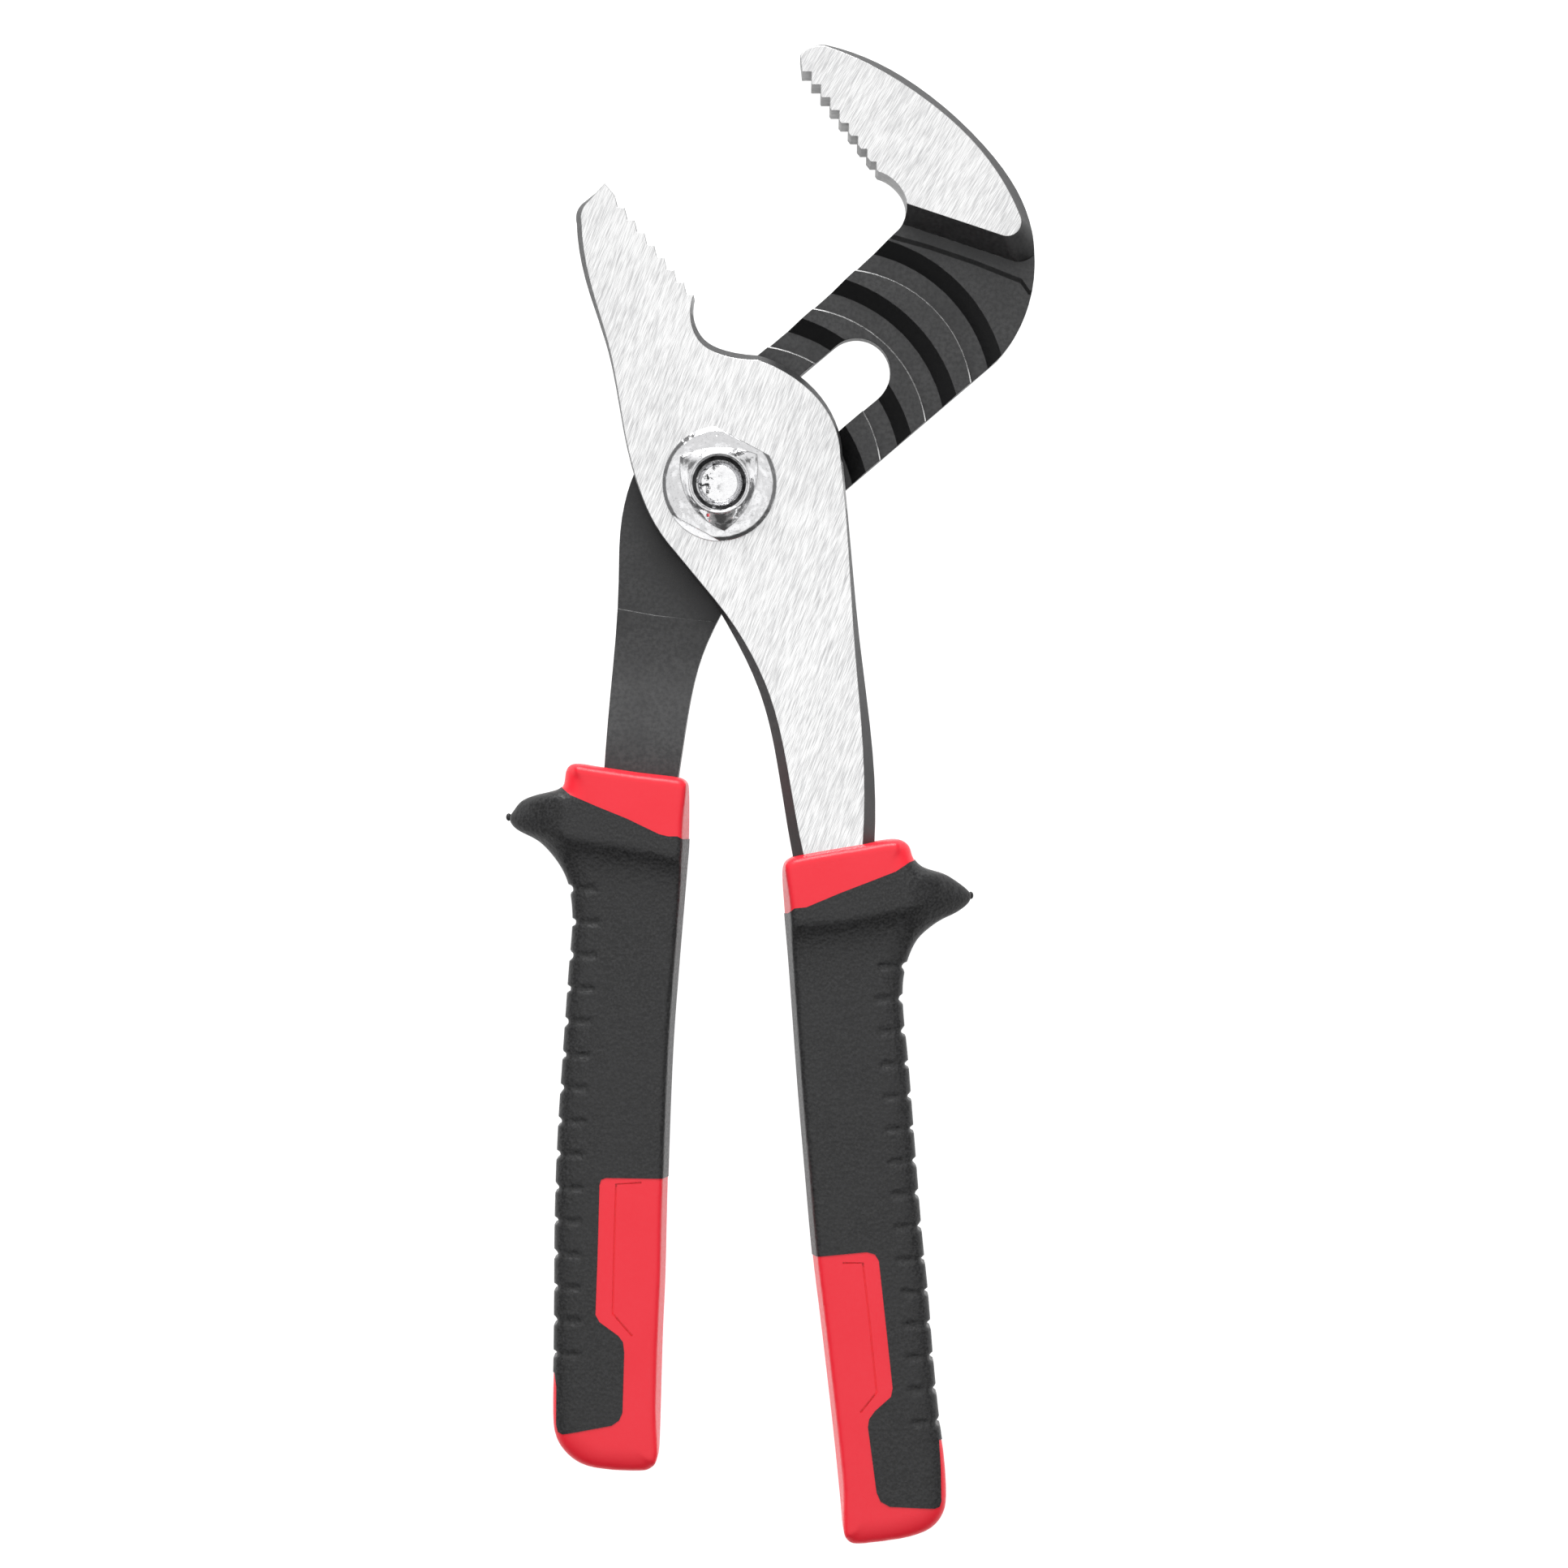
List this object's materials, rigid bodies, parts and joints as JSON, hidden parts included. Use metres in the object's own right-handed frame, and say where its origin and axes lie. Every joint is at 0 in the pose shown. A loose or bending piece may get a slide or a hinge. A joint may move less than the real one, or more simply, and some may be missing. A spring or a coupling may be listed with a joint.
{
  "type": "tongue and groove pliers",
  "caption": "Slip-joint pliers with a forged dark lever and a bright lever, stepped jaw teeth, grooved slot adjustment, pivot nut and two-colour grips with guard horns.",
  "frame": {"origin": "on the pivot bolt's axis, on the outer face of the bolt head, which is the surface the tool rests on", "axes": "+Z out of the ground faces, +Y towards the jaws, -Y towards the handle ends, +X to the right seen from above"},
  "size_m": [0.0926, 0.2615, 0.0189],
  "materials": {
    "dark_forging": "dark oxide coating on forged steel, ground jaw face",
    "ground_forging": "ground and finely scratched",
    "bolt_steel": "turned",
    "plated_washer": "bright plated",
    "plated_nut": "bright plated, crimped rim",
    "red_grip": "satin moulded",
    "black_grip": "fine grained, moulded"
  },
  "bodies": {
    "rear_half": {"rear_lever": "dark_forging", "rear_grip_core": "red_grip", "rear_grip_cover": "black_grip"},
    "pivot": {"pivot_bolt": "bolt_steel", "pivot_washer": "plated_washer", "pivot_nut": "plated_nut"},
    "front_half": {"front_lever": "ground_forging", "front_grip_core": "red_grip", "front_grip_cover": "black_grip"}
  },
  "joints": [
    {"name": "jaw_setting", "type": "slide", "parent": "rear_half", "child": "pivot", "axis": [0.766, 0.6428, 0], "range_m": [0, 0.0312]},
    {"name": "handle_hinge", "type": "hinge", "parent": "pivot", "child": "front_half", "pos_m": [0, 0, 0.0105], "axis": [0, 0, 1], "range_deg": [-9, 45]}
  ]
}
